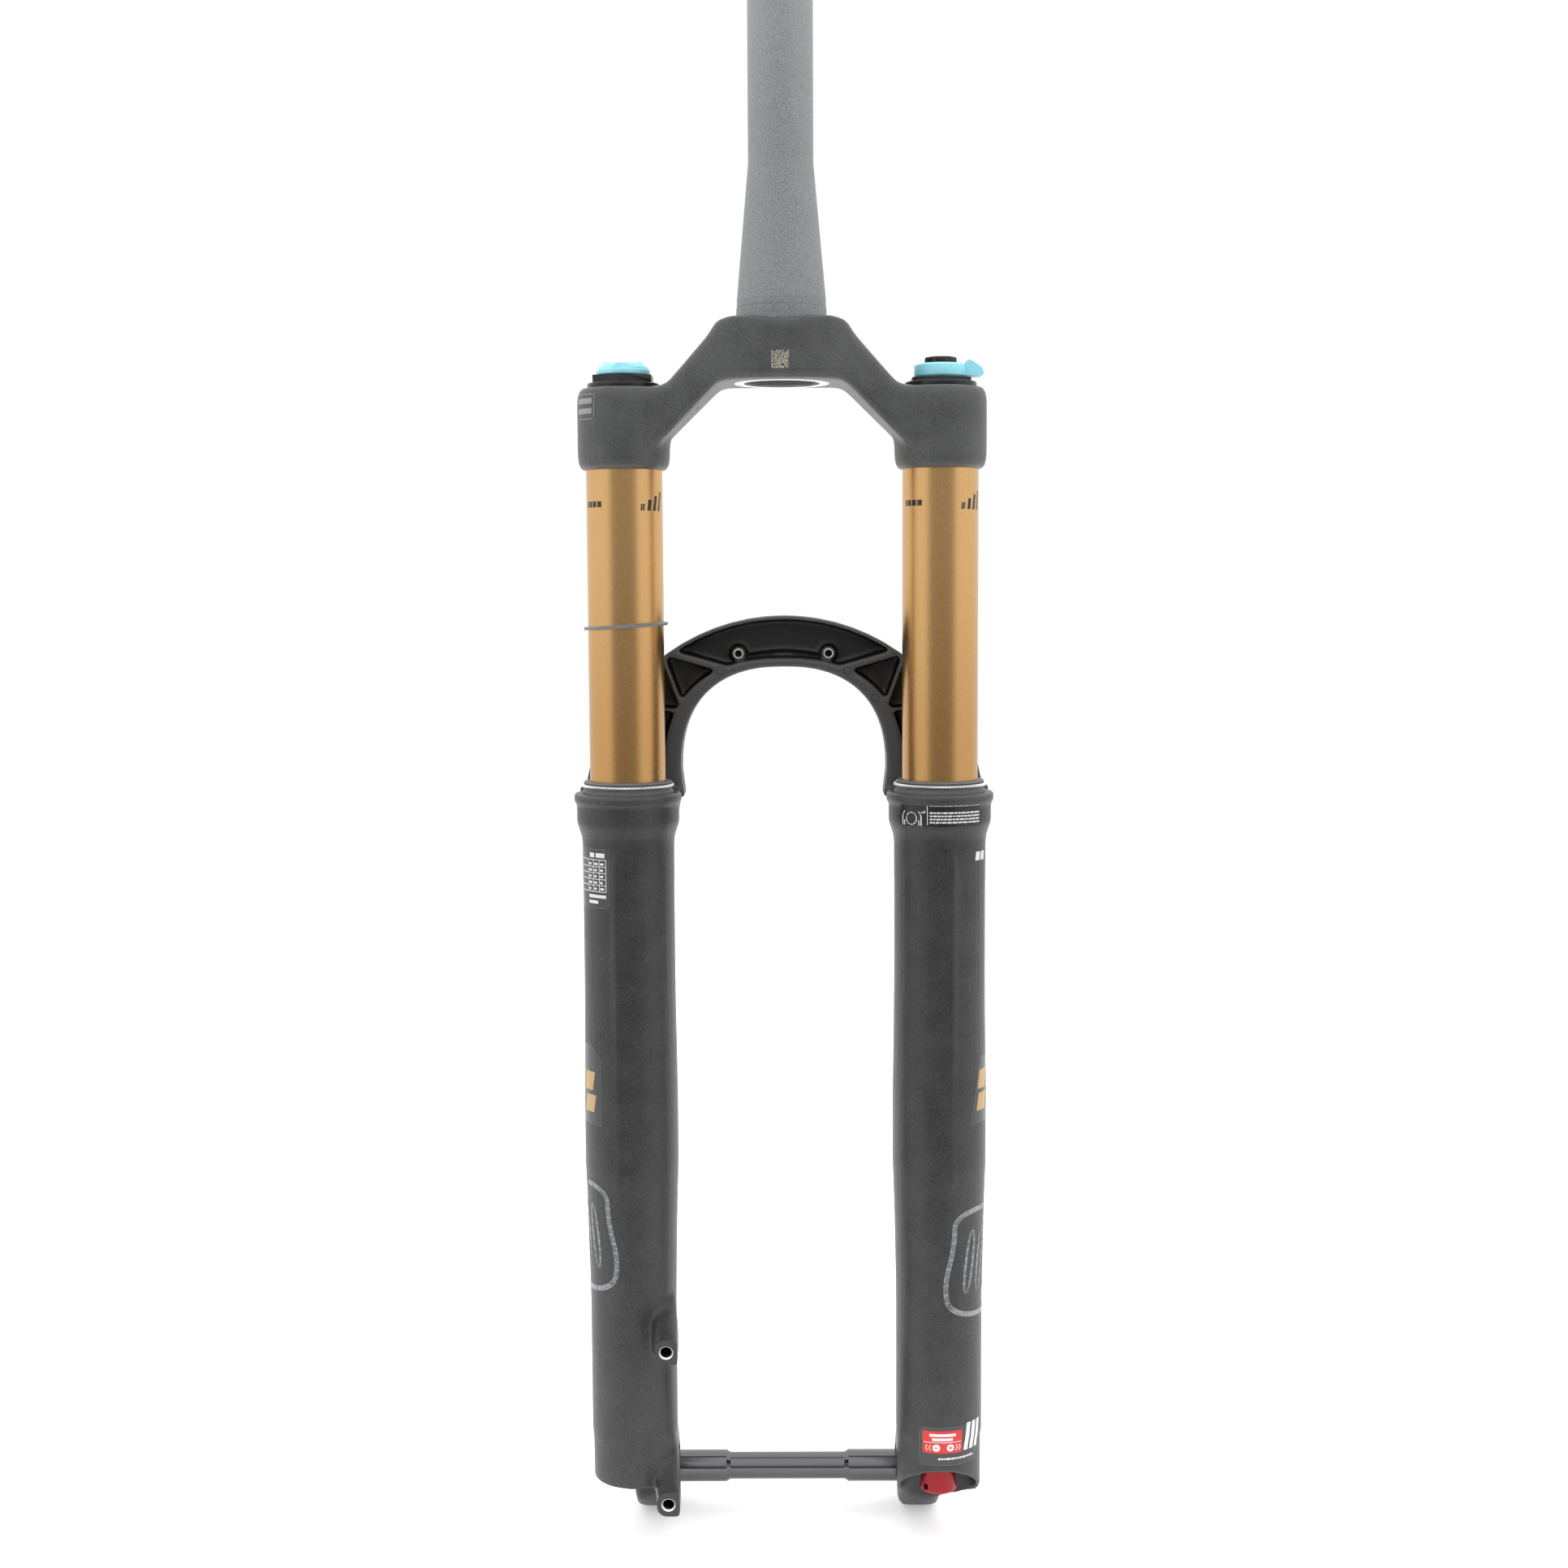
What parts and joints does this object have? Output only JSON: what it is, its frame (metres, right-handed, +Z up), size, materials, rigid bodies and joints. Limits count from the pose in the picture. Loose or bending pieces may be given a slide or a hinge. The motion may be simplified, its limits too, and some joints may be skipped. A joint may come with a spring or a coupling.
{
  "type": "suspension fork",
  "caption": "Single-crown bicycle suspension fork: tapered steerer, air spring and damper legs, one-piece lowers with a front arch, rear brake posts and a through axle.",
  "frame": {"origin": "on the steerer's axis, at the shoulder that the crown race sits on", "axes": "+Z up the steerer, +Y the way the bicycle travels, +X the rider's right"},
  "size_m": [0.1894, 0.0899, 0.7786],
  "materials": {
    "steerer_satin_black": "fine satin anodise, lighter grey than the crown",
    "crown_satin_black": "satin black anodised forging with fine grain",
    "cast_magnesium": "matt charcoal paint with fine grain over a magnesium casting",
    "gold_anodised": "polished and gold anodised tube",
    "black_anodised": "satin black anodised",
    "axle_gloss_black": "gloss black anodised",
    "blue_anodised": "bright blue anodised",
    "red_anodised": "bright red anodised",
    "brass": "turned",
    "black_rubber": "moulded rubber",
    "ring_rubber": "thin moulded rubber ring",
    "wiper_rubber": "moulded dark grey rubber",
    "orange_plastic": "moulded",
    "black_plastic": "moulded",
    "spring_steel": "bright spring steel",
    "bare_aluminium": "machined",
    "gold_valve_body": "machined and anodised",
    "chromed_shaft": "ground and polished",
    "oiled_foam": "open-cell foam, oiled",
    "bushing": "steel-backed bush with a dark low-friction lining",
    "copper_washer": "crush washer"
  },
  "bodies": {
    "upper": {"steerer_tube": "steerer_satin_black", "crown": "crown_satin_black", "stanchion_left": "gold_anodised", "stanchion_right": "gold_anodised", "air_top_cap": "black_anodised", "air_top_cap_seal": "black_rubber", "air_valve_stem": "brass", "volume_spacers": "orange_plastic", "air_seal_head": "black_anodised", "air_seal_head_clip": "spring_steel", "damper_top_cap": "black_anodised", "damper_top_cap_seal": "black_rubber", "bladder": "black_rubber", "base_valve": "gold_valve_body", "cartridge_tube": "bare_aluminium", "damper_seal_head": "black_anodised"},
    "lowers": {"lower_legs": "cast_magnesium", "wiper_seal_left": "wiper_rubber", "wiper_seal_right": "wiper_rubber", "wiper_spring_left": "spring_steel", "wiper_spring_right": "spring_steel", "foam_ring_left": "oiled_foam", "foam_ring_right": "oiled_foam", "upper_bushing_left": "bushing", "upper_bushing_right": "bushing", "lower_bushing_left": "bushing", "lower_bushing_right": "bushing", "air_shaft": "chromed_shaft", "air_piston": "black_anodised", "air_piston_seal": "black_rubber", "bottom_out_bumper": "black_rubber", "air_foot_nut": "black_anodised", "air_foot_washer": "copper_washer", "damper_shaft": "chromed_shaft", "damper_piston": "gold_valve_body", "damper_piston_band": "black_plastic", "damper_foot_nut": "black_anodised", "damper_foot_washer": "copper_washer", "axle_nut": "black_anodised", "mudguard_inserts": "bare_aluminium"},
    "valve_pin": {"valve_core_pin": "brass"},
    "valve_cap_seal": {"valve_cap_seal": "black_rubber"},
    "valve_cap": {"valve_cap": "blue_anodised"},
    "compression_lever": {"compression_lever": "blue_anodised", "compression_tube": "bare_aluminium"},
    "low_speed_adjuster": {"low_speed_knob": "black_anodised", "low_speed_rod": "bare_aluminium"},
    "rebound_adjuster": {"rebound_knob": "red_anodised", "rebound_knob_screw": "black_anodised", "rebound_rod": "bare_aluminium"},
    "thru_axle": {"thru_axle": "axle_gloss_black"},
    "travel_ring": {"travel_ring": "ring_rubber"}
  },
  "joints": [
    {"name": "fork_travel", "type": "slide", "parent": "upper", "child": "lowers", "axis": [0, 0, 1], "range_m": [0, 0.13], "stiffness_N_per_m": 6000, "springref_m": -0.006},
    {"name": "ring_slide", "type": "slide", "parent": "upper", "child": "travel_ring", "axis": [0, 0, 1], "range_m": [0, 0.06305]},
    {"name": "valve_cap_lift", "type": "slide", "parent": "upper", "child": "valve_cap_seal", "axis": [0, 0, 1], "range_m": [0, 0.0032]},
    {"name": "valve_cap_turn", "type": "hinge", "parent": "valve_cap_seal", "child": "valve_cap", "pos_m": [-0.0705, 0.007, -0.02], "axis": [0, 0, 1], "range_deg": [0, 1440]},
    {"name": "valve_pin_press", "type": "slide", "parent": "upper", "child": "valve_pin", "axis": [0, 0, -1], "range_m": [0, 0.0015], "stiffness_N_per_m": 600, "springref_m": -0.001},
    {"name": "compression_lever_turn", "type": "hinge", "parent": "upper", "child": "compression_lever", "pos_m": [0.0705, 0.007, -0.021], "axis": [0, 0, -1], "range_deg": [0, 90]},
    {"name": "low_speed_turn", "type": "hinge", "parent": "upper", "child": "low_speed_adjuster", "pos_m": [0.0705, 0.007, -0.017], "axis": [0, 0, -1], "range_deg": [0, 330]},
    {"name": "rebound_turn", "type": "hinge", "parent": "lowers", "child": "rebound_adjuster", "pos_m": [0.0705, 0.007, -0.526], "axis": [0, 0, 1], "range_deg": [0, 350]},
    {"name": "axle_slide", "type": "slide", "parent": "lowers", "child": "thru_axle", "axis": [-1, 0, 0], "range_m": [0, 0.145]}
  ],
  "couplings": [
    {"joint": "ring_slide", "follows": "fork_travel", "ratio": 0.485},
    {"joint": "valve_cap_lift", "follows": "valve_cap_turn", "m_per_rad": 0.00012732}
  ]
}
